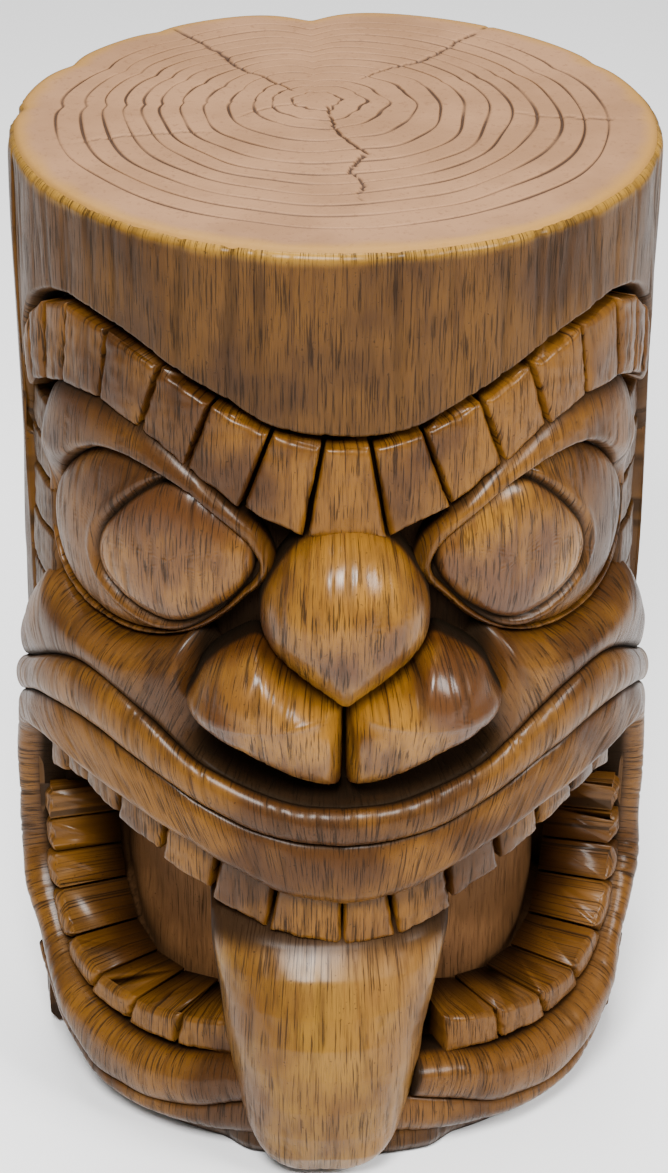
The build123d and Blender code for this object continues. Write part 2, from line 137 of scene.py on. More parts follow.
def strip(
    first, second, reachOf, back=carvingBack, steps=12, place=onLog,
    closed=False, glazeAndShadeWidth=8.0, across=False, ends=True, openOf=None,
):
    # a closed solid between two lines: its front swells as reachOf says, its back is plain
    count = len(first)
    v = np.linspace(0, 1, steps + 1)
    flat = first[:, None] * (1 - v)[None, :, None] + second[:, None] * v[None, :, None]
    u = np.broadcast_to(np.linspace(0, 1, count)[:, None], flat.shape[:2])
    reach = reachOf(flat[..., 0], flat[..., 1], u, np.broadcast_to(v, u.shape))
    front = place(flat[..., 0], flat[..., 1], reach)
    rear = [place(line[:, 0], line[:, 1], back + 0 * line[:, 0])[:, None] for line in (second, first)]
    points = np.concatenate([front] + rear, 1)
    loop = steps + 3
    paces = np.linalg.norm(np.diff(front, axis=1), axis=2)
    along = np.concatenate([np.zeros((count, 1)), np.cumsum(paces, 1)], 1)
    near = np.minimum(along, along[:, -1:] - along)
    middle = front[:, steps // 2]
    walk = np.concatenate([[0], np.cumsum(np.linalg.norm(np.diff(middle, axis=0), axis=1))])
    if ends and not closed:
        near = np.minimum(near, np.minimum(walk, walk[-1] - walk)[:, None])
    # painted shade: the front darkens towards its edges and open ends, openOf darkens it further, and the
    # back stays in full shade
    shade = np.zeros((count, loop))
    shade[:, : steps + 1] = opening(near, glazeAndShadeWidth)
    if openOf:
        shade[:, : steps + 1] *= openOf(flat[..., 0], flat[..., 1], np.broadcast_to(v, u.shape))
    grain = logGrain(points)
    if across:
        grain = np.zeros((count, loop, 3))
        grain[..., 0] = walk[:, None]
        grain[:, : steps + 1, 1] = along
    faces = []
    for i in range(count if closed else count - 1):
        a, b = i * loop, (i + 1) % count * loop
        for j in range(loop):
            k = (j + 1) % loop
            faces.append((a + j, b + j, b + k, a + k))
    if not closed:
        faces.append(tuple(range(loop - 1, -1, -1)))
        faces.append(tuple((count - 1) * loop + j for j in range(loop)))
    return points.reshape(-1, 3), faces, shade.ravel(), grain.reshape(-1, 3)


def webFaces(count, rings):
    # faces from a pole out over the rings, and back from the last one to a second pole
    faces = [(0, 1 + i, 1 + (i + 1) % count) for i in range(count)]
    for k in range(rings):
        a, b = 1 + k * count, 1 + (k + 1) * count
        faces += [(a + i, b + i, b + (i + 1) % count, a + (i + 1) % count) for i in range(count)]
    a, last = 1 + rings * count, 1 + (rings + 1) * count
    return faces + [(a + i, last, a + (i + 1) % count) for i in range(count)]


def dome(outline, centre, reachOf, back=carvingBack, rings=24, place=onLog, glazeAndShadeWidth=8.0, openOf=None):
    # a closed solid inside one loop, built out from a centre
    count = len(outline)
    centre = np.array(centre, float)
    r = np.sin(np.linspace(0, np.pi / 2, rings + 1)[1:]) ** 0.9
    flat = centre + (outline - centre)[None] * r[:, None, None]
    reach = reachOf(flat[..., 0], flat[..., 1], np.broadcast_to(r[:, None], flat.shape[:2]))
    one = np.ones((1, 1))
    middle = [centre[0] * one, centre[1] * one]
    top = place(*middle, reachOf(*middle, 0 * one)).reshape(1, 3)
    front = place(flat[..., 0], flat[..., 1], reach)
    skirt = place(outline[:, 0], outline[:, 1], back + 0 * outline[:, 0])
    rear = place(*middle, back * one).reshape(1, 3)
    points = np.vstack([top, front.reshape(-1, 3), skirt, rear])
    steps = np.linalg.norm(np.diff(front, axis=0), axis=2)
    near = np.concatenate([np.cumsum(steps[::-1], 0)[::-1], np.zeros((1, count))])
    # painted shade: darker towards the loop's edge and where openOf says, with the skirt and back in full
    # shade
    bareAndLit = opening(near, glazeAndShadeWidth)
    if openOf:
        bareAndLit *= openOf(flat[..., 0], flat[..., 1])
    shade = np.concatenate([[1.0], bareAndLit.ravel(), np.zeros(count + 1)])
    return points, webFaces(count, rings), shade, logGrain(points)


def block(corners, front, back, seed, bevel=2.4, swell=1.2, side=0.0, rows=26, columns=20):
    # a worn block with rounded edges; its corners run top inner, top outer, bottom outer, bottom inner
    c = np.array(corners, float)
    u = 0.5 - 0.5 * np.cos(np.linspace(0, np.pi, rows))[:, None]
    first, second = c[0] * (1 - u) + c[3] * u, c[1] * (1 - u) + c[2] * u
    tall = abs(c[0, 1] - c[3, 1])
    wide = abs(c[1, 0] - c[0, 0]) * np.pi / 180 * front
    rng = np.random.default_rng(seed)
    lean = rng.uniform(-0.8, 0.8, 3)

    def reachOf(angle, level, u, v):
        u = 0.5 - 0.5 * np.cos(u * np.pi)
        chip = rough(angle, level, seed + 5, 1.6)
        e = np.minimum(np.minimum(u, 1 - u) * tall, np.minimum(v, 1 - v) * wide) + chip * 0.4
        fall = 1 - np.clip(e / bevel, 0, 1)
        edge = bevel * (1 - np.sqrt(np.clip(1 - fall**2, 0, 1)))
        full = swell * (1 - (2 * u - 1) ** 2) * (1 - (2 * v - 1) ** 2)
        return front + lean[0] + lean[1] * (u - 0.5) + lean[2] * (v - 0.5) + full - edge + 0.25 * chip

    points, faces, _, grain = strip(first, second, reachOf, back, columns)
    # painted shade: the front stays open and the sides darken towards the back, to the side value there, as
    # shade falls into the joints between the blocks
    reach = np.hypot(points[:, 0], points[:, 1])
    shade = side + (1 - side) * ease(reach, front - bevel - 3.0, front - bevel + 0.5)
    return points, faces, shade, grain


def makePiece(name, parts, finish, slot, *nodes, cuts=None):
    # joins the parts into one mesh, carves the grain into it, hangs it on the root body and hides the CAD
    # parts it stands for
    points, faces, shade, grain, start = [], [], [], [], 0
    for p, f, s, g in parts:
        points.append(p)
        faces += [tuple(start + k for k in face) for face in f]
        shade.append(s)
        grain.append(g)
        start += len(p)
    mesh = bpy.data.meshes.new(name)
    mesh.from_pydata((np.vstack(points) * mm).tolist(), [], faces)
    mesh.attributes.new("shade", "FLOAT", "POINT").data.foreach_set("value", np.concatenate(shade))
    fibre = mesh.attributes.new("grain", "FLOAT_VECTOR", "POINT")
    fibre.data.foreach_set("vector", np.vstack(grain).ravel() * 0.001)
    shaped = bmesh.new()
    shaped.from_mesh(mesh)
    bmesh.ops.recalc_face_normals(shaped, faces=shaped.faces)
    shaped.to_mesh(mesh)
    shaped.free()
    mesh.polygons.foreach_set("use_smooth", [True] * len(mesh.polygons))
    piece = bpy.data.objects.new(name, mesh)
    bpy.context.collection.objects.link(piece)
    if cuts:
        carve(piece, finish, cuts)
    else:
        mesh.materials.append(finish)
    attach(piece, "root")
    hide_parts(*nodes)
    return piece


# Node trees: sums on sockets are written as plain expressions
class Value:
    def __init__(self, sheet, socket):
        self.sheet, self.socket = sheet, socket

    def sum(self, operation, other, turned=False):
        pair = (other, self) if turned else (self, other)
        return self.sheet.add("ShaderNodeMath", {"operation": operation}, dict(enumerate(pair)))["Value"]

    def __add__(self, other):
        return self.sum("ADD", other)

    def __sub__(self, other):
        return self.sum("SUBTRACT", other)

    def __rsub__(self, other):
        return self.sum("SUBTRACT", other, True)

    def __mul__(self, other):
        return self.sum("MULTIPLY", other)

    def __truediv__(self, other):
        return self.sum("DIVIDE", other)

    def __rtruediv__(self, other):
        return self.sum("DIVIDE", other, True)

    def __pow__(self, other):
        return self.sum("POWER", other)

    __radd__, __rmul__ = __add__, __mul__


class Outputs:
    def __init__(self, sheet, node):
        self.sheet, self.node = sheet, node

    def __getitem__(self, name):
        return Value(self.sheet, self.node.outputs[name])


class Sheet:
    def __init__(self, tree):
        self.tree = tree

    def add(self, kind, settings=None, inputs=None):
        node = self.tree.nodes.new(kind)
        for name, value in (settings or {}).items():
            setattr(node, name, value)
        for name, value in (inputs or {}).items():
            if isinstance(value, Value):
                self.tree.links.new(value.socket, node.inputs[name])
            else:
                node.inputs[name].default_value = value
        return Outputs(self, node)

    def stretch(self, vector, scale):
        return self.add("ShaderNodeVectorMath", {"operation": "MULTIPLY"}, {0: vector, 1: scale})["Vector"]

    def noise(self, vector, detail=3.0, roughness=0.55, scale=1.0):
        inputs = {"Vector": vector, "Scale": scale, "Detail": detail, "Roughness": roughness}
        return self.add("ShaderNodeTexNoise", None, inputs)[0]

    def step(self, value, low, high):
        inputs = {"Value": value, "From Min": low, "From Max": high}
        return self.add("ShaderNodeMapRange", {"interpolation_type": "SMOOTHSTEP"}, inputs)[0]

    def blend(self, factor, a, b):
        return self.add("ShaderNodeMix", {"data_type": "RGBA"}, {0: factor, 6: a, 7: b})[2]

    def bump(self, height, strength, deep):
        inputs = {"Strength": strength, "Distance": deep, "Height": height}
        return self.add("ShaderNodeBump", None, inputs)["Normal"]


def grainTree():
    # carves short cuts along the fibre into any piece, from its own grain map
    tree = bpy.data.node_groups.new("grainCuts", "GeometryNodeTree")
    for name, kind, usual in (
        ("Geometry", "NodeSocketGeometry", None),
        ("Depth", "NodeSocketFloat", 0.0006),
        ("Spacing", "NodeSocketFloat", 0.004),
        ("Length", "NodeSocketFloat", 0.04),
        ("Finish", "NodeSocketMaterial", None),
    ):
        socket = tree.interface.new_socket(name, in_out="INPUT", socket_type=kind)
        if usual is not None:
            socket.default_value = usual
    tree.interface.new_socket("Geometry", in_out="OUTPUT", socket_type="NodeSocketGeometry")
    sheet = Sheet(tree)
    given = sheet.add("NodeGroupInput")
    grain = sheet.add("GeometryNodeInputNamedAttribute", {"data_type": "FLOAT_VECTOR"}, {"Name": "grain"})[0]
    shade = sheet.add("GeometryNodeInputNamedAttribute", {"data_type": "FLOAT"}, {"Name": "shade"})[0]
    pitch = {0: 1 / given["Spacing"], 1: 1 / given["Length"], 2: 1.0}
    scale = sheet.add("ShaderNodeCombineXYZ", None, pitch)[0]
    cut = sheet.step(sheet.noise(sheet.stretch(grain, scale), 2.0), 0.52, 0.68)
    push = cut * shade * given["Depth"] * -1.0
    normal = sheet.add("GeometryNodeInputNormal")[0]
    offset = sheet.add("ShaderNodeVectorMath", {"operation": "SCALE"}, {0: normal, "Scale": push})[0]
    moved = sheet.add("GeometryNodeSetPosition", None, {"Geometry": given["Geometry"], "Offset": offset})[0]
    inputs = {"Geometry": moved, "Name": "cut", "Value": cut}
    kept = sheet.add("GeometryNodeStoreNamedAttribute", {"data_type": "FLOAT", "domain": "POINT"}, inputs)[0]
    real = sheet.add("GeometryNodeRealizeInstances", None, {0: kept})[0]
    done = sheet.add("GeometryNodeSetMaterial", None, {"Geometry": real, "Material": given["Finish"]})[0]
    sheet.add("NodeGroupOutput", None, {0: done})
    return tree


carvingTree = grainTree()


def carve(piece, finish, cuts):
    modifier = piece.modifiers.new("cuts", "NODES")
    modifier.node_group = carvingTree
    given = dict(cuts, Finish=finish)
    for item in carvingTree.interface.items_tree:
        if item.item_type == "SOCKET" and item.in_out == "INPUT" and item.name in given:
            modifier[item.identifier] = given[item.name]
    sight = bpy.context.evaluated_depsgraph_get()
    result = bpy.data.meshes.new_from_object(piece.evaluated_get(sight), depsgraph=sight)
    piece.modifiers.remove(modifier)
    old, piece.data = piece.data, result
    bpy.data.meshes.remove(old)
    result.name = piece.name


# Finishes: a gold-brown glaze over dark umber, which stays in the grain and in every joint; the shade map
# also paints shade into the joints, creases and hollows
glazes = {
    "log": dict(
        gold=(0.062, 0.0245, 0.0028),
        brown=(0.027, 0.0092, 0.0014),
        mauve=(0.042, 0.0155, 0.004),
        umber=(0.004, 0.0013, 0.0005),
        worn=(0.27, 0.14, 0.018),
        fine=(1200, 38),
        cutAt=0.54,
        rough=0.40,
        coat=0.14,
    ),
    "carving": dict(
        gold=(0.19, 0.082, 0.0068),
        brown=(0.050, 0.016, 0.0025),
        mauve=(0.125, 0.050, 0.008),
        umber=(0.003, 0.001, 0.0004),
        worn=(0.38, 0.20, 0.05),
        fine=(1150, 52),
        cutAt=0.545,
        rough=0.36,
        coat=0.4,
    ),
    "band": dict(
        gold=(0.115, 0.046, 0.0048),
        brown=(0.036, 0.012, 0.002),
        mauve=(0.075, 0.028, 0.0055),
        umber=(0.003, 0.001, 0.0004),
        worn=(0.38, 0.20, 0.05),
        fine=(1150, 46),
        cutAt=0.55,
        rough=0.38,
        coat=0.2,
    ),
    "tongue": dict(
        gold=(0.155, 0.074, 0.007),
        brown=(0.078, 0.030, 0.0035),
        mauve=(0.15, 0.066, 0.024),
        umber=(0.008, 0.0025, 0.001),
        worn=(0.38, 0.20, 0.05),
        fine=(1200, 36),
        cutAt=0.56,
        rough=0.34,
        coat=0.34,
    ),
    "recess": dict(
        gold=(0.125, 0.056, 0.020),
        brown=(0.068, 0.029, 0.010),
        mauve=(0.095, 0.043, 0.020),
        umber=(0.003, 0.001, 0.0005),
        worn=(0.1, 0.05, 0.02),
        fine=(900, 32),
        cutAt=0.58,
        rough=0.62,
        coat=0.0,
    ),
}


def rgba(colour):
    return (*colour, 1.0)


def startMaterial(name):
    material = bpy.data.materials.new(name)
    material.use_nodes = True
    material.node_tree.nodes.clear()
    return material, Sheet(material.node_tree)


def endMaterial(sheet, inputs):
    surface = sheet.add("ShaderNodeBsdfPrincipled", None, inputs)["BSDF"]
    sheet.add("ShaderNodeOutputMaterial", None, {"Surface": surface})


def glazeMaterial(name, look):
    material, sheet = startMaterial(name)
    grain = sheet.add("ShaderNodeAttribute", {"attribute_name": "grain"})["Vector"]
    shade = sheet.add("ShaderNodeAttribute", {"attribute_name": "shade"})["Fac"]
    cut = sheet.add("ShaderNodeAttribute", {"attribute_name": "cut"})["Fac"]
    place = sheet.add("ShaderNodeTexCoord")["Object"]
    level = sheet.add("ShaderNodeSeparateXYZ", None, {0: place})["Z"]
    across, along = look["fine"]
    fine = sheet.noise(sheet.stretch(grain, (across, along, 1.0)), 3.0, 0.6)
    hair = sheet.noise(sheet.stretch(grain, (across * 2.3, along * 1.6, 1.0)), 2.0, 0.6)
    patchy = sheet.noise(place, 2.0, 0.5, 26.0)
    line = sheet.step(fine + patchy * 0.16 - 0.08, look["cutAt"], look["cutAt"] + 0.08)
    hairLine = sheet.step(hair, 0.55, 0.68)
    cloud = sheet.noise(place, 3.0, 0.6, 12.0)
    patch = sheet.noise(place, 2.0, 0.5, 6.0)
    pit = sheet.step(sheet.noise(place, 1.0, 0.5, 640.0), 0.71, 0.78)
    body = sheet.blend(sheet.step(cloud, 0.38, 0.60), rgba(look["brown"]), rgba(look["gold"]))
    body = sheet.blend(sheet.step(patch, 0.50, 0.66) * 0.6, body, rgba(look["mauve"]))
    streak = sheet.noise(sheet.stretch(grain, (across * 0.28, along * 0.35, 1.0)), 3.0, 0.6)
    body = sheet.blend(sheet.step(streak, 0.48, 0.70) * 0.6, body, rgba(look["brown"]))
    rim = sheet.step(level + cloud * 0.010 + hair * 0.004, 0.506, 0.514)
    body = sheet.blend(rim * 0.8, body, rgba(look["worn"]))
    # painted shade: where the shade map is low the body turns brown, then umber, along with the dark glaze in
    # joints and creases; worn is that map with patchy noise
    worn = shade + (cloud - 0.5) * 0.3
    bareAndLit = sheet.step(worn, 0.0, 0.6)
    body = sheet.blend((1 - sheet.step(worn, 0.3, 1.0)) * 0.75, body, rgba(look["brown"]))
    body = sheet.blend((1 - bareAndLit) * 0.96, body, rgba(look["umber"]))
    ink = 1 - (1 - line * 0.75) * (1 - hairLine * 0.4) * (1 - cut * 0.35) * (1 - pit * 0.55)
    body = sheet.blend(ink, body, rgba(look["umber"]))
    height = 1 - line * 0.7 - hairLine * 0.2 - cut * 0.2 - pit * 0.5
    bump = sheet.bump(height, 0.7, 0.0006)
    dull = look["rough"] + ink * 0.25 + (1 - bareAndLit) * 0.3 + sheet.noise(place, 2.0, 0.5, 60.0) * 0.12
    endMaterial(
        sheet,
        {
            "Base Color": body,
            "Roughness": dull,
            "Normal": bump,
            "Coat Weight": look["coat"] * (1 - ink * 0.6) * bareAndLit,
            "Coat Roughness": 0.25,
            "Specular IOR Level": 0.14,
            "Specular Tint": (1.0, 0.75, 0.45, 1.0),
        },
    )
    return material


endGrain = dict(
    tan=(0.185, 0.094, 0.043),
    pale=(0.23, 0.120, 0.058),
    brown=(0.105, 0.047, 0.021),
    umber=(0.014, 0.005, 0.002),
    gold=(0.25, 0.125, 0.018),
    rough=0.55,
)


def endGrainMaterial(name):
    material, sheet = startMaterial(name)
    cut = sheet.add("ShaderNodeAttribute", {"attribute_name": "cut"})["Fac"]
    rim = sheet.add("ShaderNodeAttribute", {"attribute_name": "shade"})["Fac"]
    place = sheet.add("ShaderNodeTexCoord")["Object"]
    cloud = sheet.noise(place, 3.0, 0.6, 14.0)
    speck = sheet.noise(place, 3.0, 0.65, 340.0)
    body = sheet.blend(sheet.step(cloud, 0.35, 0.65), rgba(endGrain["tan"]), rgba(endGrain["pale"]))
    body = sheet.blend(sheet.step(speck, 0.55, 0.72) * 0.45, body, rgba(endGrain["brown"]))
    body = sheet.blend((1 - rim) * 0.8, body, rgba(endGrain["gold"]))
    body = sheet.blend(sheet.step(cut, 0.05, 0.7) * 0.88, body, rgba(endGrain["umber"]))
    bump = sheet.bump(speck, 0.5, 0.0005)
    dull = endGrain["rough"] + speck * 0.15
    endMaterial(sheet, {"Base Color": body, "Roughness": dull, "Normal": bump, "Specular IOR Level": 0.2})
    return material


plainLooks = {
    "inner_board": ((0.45, 0.38, 0.28), (0.30, 0.24, 0.17), 0.8, 0.0, 90),
    "base_board": ((0.05, 0.032, 0.02), (0.03, 0.018, 0.011), 0.6, 0.0, 120),
    "dowel_wood": ((0.55, 0.36, 0.18), (0.38, 0.22, 0.10), 0.6, 0.0, 60),
    "screw_steel": ((0.55, 0.55, 0.56), (0.42, 0.42, 0.44), 0.32, 1.0, 300),
    "pad_rubber": ((0.02, 0.019, 0.018), (0.035, 0.033, 0.03), 0.75, 0.0, 400),
}


def plainMaterial(name):
    light, dark, dull, metal, scale = plainLooks[name]
    material, sheet = startMaterial(name)
    place = sheet.add("ShaderNodeTexCoord")["Object"]
    cloud = sheet.noise(sheet.stretch(place, (1.0, 1.0, 0.2)), 4.0, 0.6, scale)
    body = sheet.blend(sheet.step(cloud, 0.35, 0.65), rgba(dark), rgba(light))
    bump = sheet.bump(cloud, 0.3, 0.0004)
    dull = dull + cloud * 0.15
    endMaterial(sheet, {"Base Color": body, "Roughness": dull, "Metallic": metal, "Normal": bump})
    return material


logFinish = glazeMaterial("logGlaze", glazes["log"])
carvingFinish = glazeMaterial("carvingGlaze", glazes["carving"])
bandFinish = glazeMaterial("bandGlaze", glazes["band"])
tongueFinish = glazeMaterial("tongueGlaze", glazes["tongue"])
recessFinish = glazeMaterial("recessGlaze", glazes["recess"])
endFinish = endGrainMaterial("endGrain")
print("finishes made")

carveCuts = dict(Depth=0.0005, Spacing=0.0042, Length=0.045)
logCuts = dict(Depth=0.0008, Spacing=0.0065, Length=0.11)
tongueCuts = dict(Depth=0.0004, Spacing=0.004, Length=0.06)

# The log: the forehead and foot in front, the wall behind, and the floor that the face is cut down to
forehead = [
    (0, 411), (4.5, 411.5), (8.5, 413), (12.8, 416), (17, 420.5), (21.5, 426.5), (26, 432), (30.5, 437.5),
    (35, 443), (40, 448), (45.5, 452), (51, 454.5), (57.5, 454), (64, 448.5), (70, 439), (75, 424), (78, 405),
    (80, 380), (81, 350),
]
# the knocks in the rim: where each is, how deep and how wide
rimNotches = [(183, 14.0, 6.0), (214, 2.5, 3.0), (238, 4.0, 4.0), (262, 3.0, 2.5), (120, 2.0, 3.0)]


def notched(angle, level):
    # splits and knocks in the rim, which run out down the back
    turn = np.mod(angle, 360)
    deep = sum(depth * np.exp(-(abs((turn - at) / width) ** 1.4)) for at, depth, width in rimNotches)
    return deep * ease(level, 380, 500)


def barkReach(angle, level, u, v):
    edge = 3.6 * ease(level, 501, 507.5) ** 2
    arc = angle * degree
    wave = 0.9 * rough(arc, level * 0.35, 3, 12.0) + 0.5 * rough(arc, level * 0.15, 8, 3.5)
    reach = logReach(level) - edge + wave * ease(logHeight - level, 0, 12) - 0.6 - notched(angle, level)
    return np.maximum(reach, 137.0)


def foreheadReach(angle, level, u, v):
    # the lower edge rolls in to the groove over the blocks
    drop = 8.0 * (1 - np.clip(v * (logHeight - 0.5 - level[:, :1]) / 4.5, 0, 1)) ** 2.4
    return barkReach(angle, level, u, v) - drop


def footReach(angle, level, u, v):
    return 153 - 7 * ease(abs(angle), 17, 25) - 3 * ease(8 - level, 0, 6) - 5 * ease(level, 14, 22)


def wallReach(angle, level, u, v):
    return barkReach(angle, level, u, v) - 4 * ease(8 - level, 0, 6)


def course(angles, level):
    return np.stack([angles, np.full(len(angles), level)], 1)


def makeLog():
    angles = np.linspace(-faceSide, faceSide, 300)
    half = curve(forehead, 400)
    low = np.stack([angles, np.interp(abs(angles), half[:, 0], half[:, 1])], 1)
    brow = strip(low, course(angles, wallTop), foreheadReach, 140.0, 84, glazeAndShadeWidth=3.0, ends=False)
    outside = np.hypot(brow[0][:, 0], brow[0][:, 1]) > 145
    brow[2][:] = np.maximum(brow[2], ease(brow[0][:, 2], 480, 500) * outside)
    foot = strip(
        course(angles, 2.0), course(angles, 22.0), footReach, 135.0, 10, glazeAndShadeWidth=5.0, ends=False
    )
    makePiece("logFront", [brow, foot], logFinish, "log", "front_shell", cuts=logCuts)

    angles = np.linspace(-faceSide, faceSide, 240)
    upper, lower = both(mouthTop, 60), both(mouthBottom, 60)

    def floorReach(angle, level, u, v):
        top, bottom = [np.interp(angle, line[:, 0], line[:, 1]) for line in (upper, lower)]
        inside = ease(np.minimum(top - level, level - bottom), -3, 3) * ease(80.5 - abs(angle), 0, 1.4)
        temple = ease(abs(angle), 61, 62.5) * ease(level, 268, 270) * ease(386 - level, 0, 3)
        hollow = (faceFloor - mouthWall + 10) * inside
        return faceFloor + 6 * temple + 0.5 * rough(angle, level, 4, 5.0) - hollow

    floor = strip(course(angles, 16.0), course(angles, 470.0), floorReach, 104.0, 150, ends=False)
    # painted shade: the face's floor between the carvings stays in full shade, and the mouth's back wall
    # darkens towards the lips, teeth and corners
    x, y, level = floor[0].T
    angle = np.degrees(np.arctan2(x, -y))
    top, bottom = [np.interp(angle, line[:, 0], line[:, 1]) for line in (upper, lower)]
    inner = np.minimum(np.minimum(top - level, level - bottom), (80 - abs(angle)) * 2.0)
    floor[2][:] = np.where(np.hypot(x, y) < 125, 0.25 + 0.75 * ease(inner, 4, 42), 0.0)
    makePiece("faceGround", [floor], recessFinish, "recess", "mouth_lining", cuts=carveCuts)

    angles = np.linspace(faceSide, 360 - faceSide, 200)
    back = strip(course(angles, 2.0), course(angles, wallTop), wallReach, 133.0, 200, glazeAndShadeWidth=4.0, ends=False)
    # painted shade: the wall's inner face is left in full shade, and its outer face is kept nearly open
    outside = np.hypot(back[0][:, 0], back[0][:, 1]) > 145
    back[2][:] = np.where(outside, np.maximum(back[2], 0.8), 0)
    makePiece("logBack", [back], logFinish, "log", "back_shell", cuts=logCuts)


# The lips run round the mouth as one band, from one side of the tongue to the other
mouthTop = [
    (0, 159), (7.3, 162), (12, 166), (18, 174), (25.5, 183), (33, 191), (42, 199), (47, 203), (52, 208),
    (58, 209), (64, 206), (70, 201),
]
mouthSide = [(75, 195), (79, 186), (80.7, 170), (81, 150), (80.8, 130), (79.5, 113)]
mouthBottom = [(0, 60), (14, 62), (22, 60), (28, 56), (35, 53.5), (46, 55), (57, 61), (67.5, 76), (75, 96)]
mouthInner = mouthTop + mouthSide + mouthBottom[:1:-1] + [(14, 62.5)]
valleyLow = [
    (0, 196), (8, 198), (15, 202), (20, 207), (26, 213.5), (30, 219), (36, 226), (40.5, 230), (45.5, 234),
    (53, 236), (60, 234), (68.5, 226), (75, 217), (81, 208), (86, 200),
]
valleyHigh = [
    (0, 216.5), (8, 218), (15, 223), (22, 230), (26, 234.5), (30, 242), (34, 249.5), (38, 255.5),
    (42.5, 261.5), (47.5, 265.5), (53, 265.5), (59.5, 259.5), (68, 247), (75, 236), (81, 228), (87, 220),
]
lipOuter = valleyLow + [
    (89.5, 188), (90.5, 170), (90.5, 140), (89, 115), (85.5, 92), (79, 71), (71, 54), (63, 40), (56, 29.5),
    (49.7, 23.5), (42, 22), (35.5, 23), (31, 24.5), (27, 28), (21, 34), (13, 41),
]
cheekOuter = [
    (0, 240), (10, 252), (18, 264), (22, 284), (27, 302), (31, 296), (36, 291), (40, 288.5), (45, 286.5),
    (51, 287.5), (59, 291.5), (64.5, 297), (69, 298), (74, 286), (79, 270), (84, 256), (88.5, 243),
]
chinInner = [
    (76, 64), (71, 55), (63, 41), (56, 30.5), (49.7, 24.5), (42, 23), (35.5, 24), (31, 25.5), (27, 29),
    (20, 35), (11, 42),
]
chinOuter = [
    (77, 55), (70, 41), (64, 29), (57, 18), (51, 13), (43, 9.5), (35.5, 9.5), (27, 10.5), (20, 12),
    (15, 13), (9, 16),
]


def ridge(v, inner, crest, outer, at=0.5, power=2.0):
    # a rounded crest between two valleys, at a share of the way across
    side = np.where(v < at, (at - v) / at, (v - at) / (1 - at))
    low = np.where(v < at, inner, outer)
    return low + (crest - low) * np.sqrt(np.clip(1 - side**power, 0, 1))


def worked(angle, level, seed):
    # the slow unevenness that a knife leaves on the bands
    return 0.7 * rough(angle * degree, level, seed, 9.0)


def makeLips():
    def lipReach(angle, level, u, v):
        across = abs(angle)
        low = 1 - ease(level, 60, 150)
        side = ease(across, 58, 80)
        crest = 167.5 - 4.0 * low - 3.8 * side * (1 - low)
        crest = crest - 5.5 * side * (1 - ease(level, 60, 100))
        rim = 151.0 - 3.0 * low
        valley = 162.0 - 6.5 * low - 2.5 * side - 8.0 * ease(across, 80, 88)
        at = 0.33 + 0.12 * low
        return ridge(v, rim, crest, valley, at) + worked(angle, level, 21)

    lips = strip(both(mouthInner, 360), both(lipOuter, 360), lipReach, steps=30, glazeAndShadeWidth=9.0, across=True)
    nodes = ("upper_lip", "lower_lip_left", "lower_lip_right")
    makePiece("lips", [lips], bandFinish, "carving", *nodes, cuts=carveCuts)

    def foldReach(angle, level, u, v):
        side = ease(abs(angle), 55, 80)
        deep = 8.0 * ease(abs(angle), 80, 87)
        crest = 169.0 - 5.0 * side - deep * 0.6
        return ridge(v, 162.0 - 2.5 * side - deep, crest, 161.5 - 4 * side - deep) + worked(angle, level, 22)

    valley = both(valleyHigh, 200)
    fold = strip(both(valleyLow, 200), valley, foldReach, steps=26, glazeAndShadeWidth=5.5, across=True)
    makePiece("lipFold", [fold], bandFinish, "carving", "lip_fold", cuts=carveCuts)

    def cheekReach(angle, level, u, v):
        across = abs(angle)
        side = ease(across, 50, 80)
        deep = 8.0 * ease(across, 80, 88)
        crest = 166.0 - 4.5 * side - deep * 0.6
        cheek = ridge(v, 161.5 - 4 * side - deep, crest, 143.0, 0.4)
        under = 162 - 20 * ease(v, 0.0, 0.28)
        mix = ease(across, 22, 31)
        return under * (1 - mix) + cheek * mix + worked(angle, level, 23)

    # painted shadow under the nostrils: the band beneath them darkens quickly away from the lower valley
    def cheekOpen(angle, level, v):
        return 1 - (1 - ease(abs(angle), 24, 32)) * ease(v, 0.0, 0.13)

    brim = both(cheekOuter, 200)
    cheek = strip(valley, brim, cheekReach, steps=34, glazeAndShadeWidth=15.0, across=True, openOf=cheekOpen)
    makePiece("cheekFold", [cheek], bandFinish, "carving", "cheek_fold", cuts=carveCuts)

    def chinReach(angle, level, u, v):
        return ridge(v, 155.0, 158.5, 146.0, 0.4) + 0.5 * rough(angle * degree, level, 24, 9.0)

    for name, side in sides.items():
        first, second = [curve(line, 150) * (side, 1) for line in (chinInner, chinOuter)]
        chin = strip(first, second, chinReach, steps=16, glazeAndShadeWidth=6.0)
        makePiece("chin" + name, [chin], bandFinish, "carving", "chin_" + name.lower(), cuts=carveCuts)


# The nose: a pillow-shaped bridge over two nostrils, which overhang the lip
bridge = dict(
    side=[
        (0, 366), (14, 363), (25, 355), (33, 343.5), (39, 331), (40.5, 320), (39, 309), (34, 300),
        (26, 291.5), (17, 283.5), (8, 276.5), (0, 271),
    ],
    centre=(0, 320),
    edge=149.0,
    crest=187.5,
)
nostril = dict(
    outline=[
        (1, 271), (8, 278), (17, 285), (26, 293), (34, 301.5), (42, 307), (50, 304), (59, 298.5),
        (66.5, 291), (71.5, 281), (75.5, 273), (74.5, 267), (69, 262.5), (60, 256.5), (50, 251),
        (41, 244), (31, 237), (22, 231), (12, 227), (4, 225.5), (1, 229), (0.8, 250),
    ],
    centre=(38, 271),
    edge=146.0,
    crest=183.0,
)


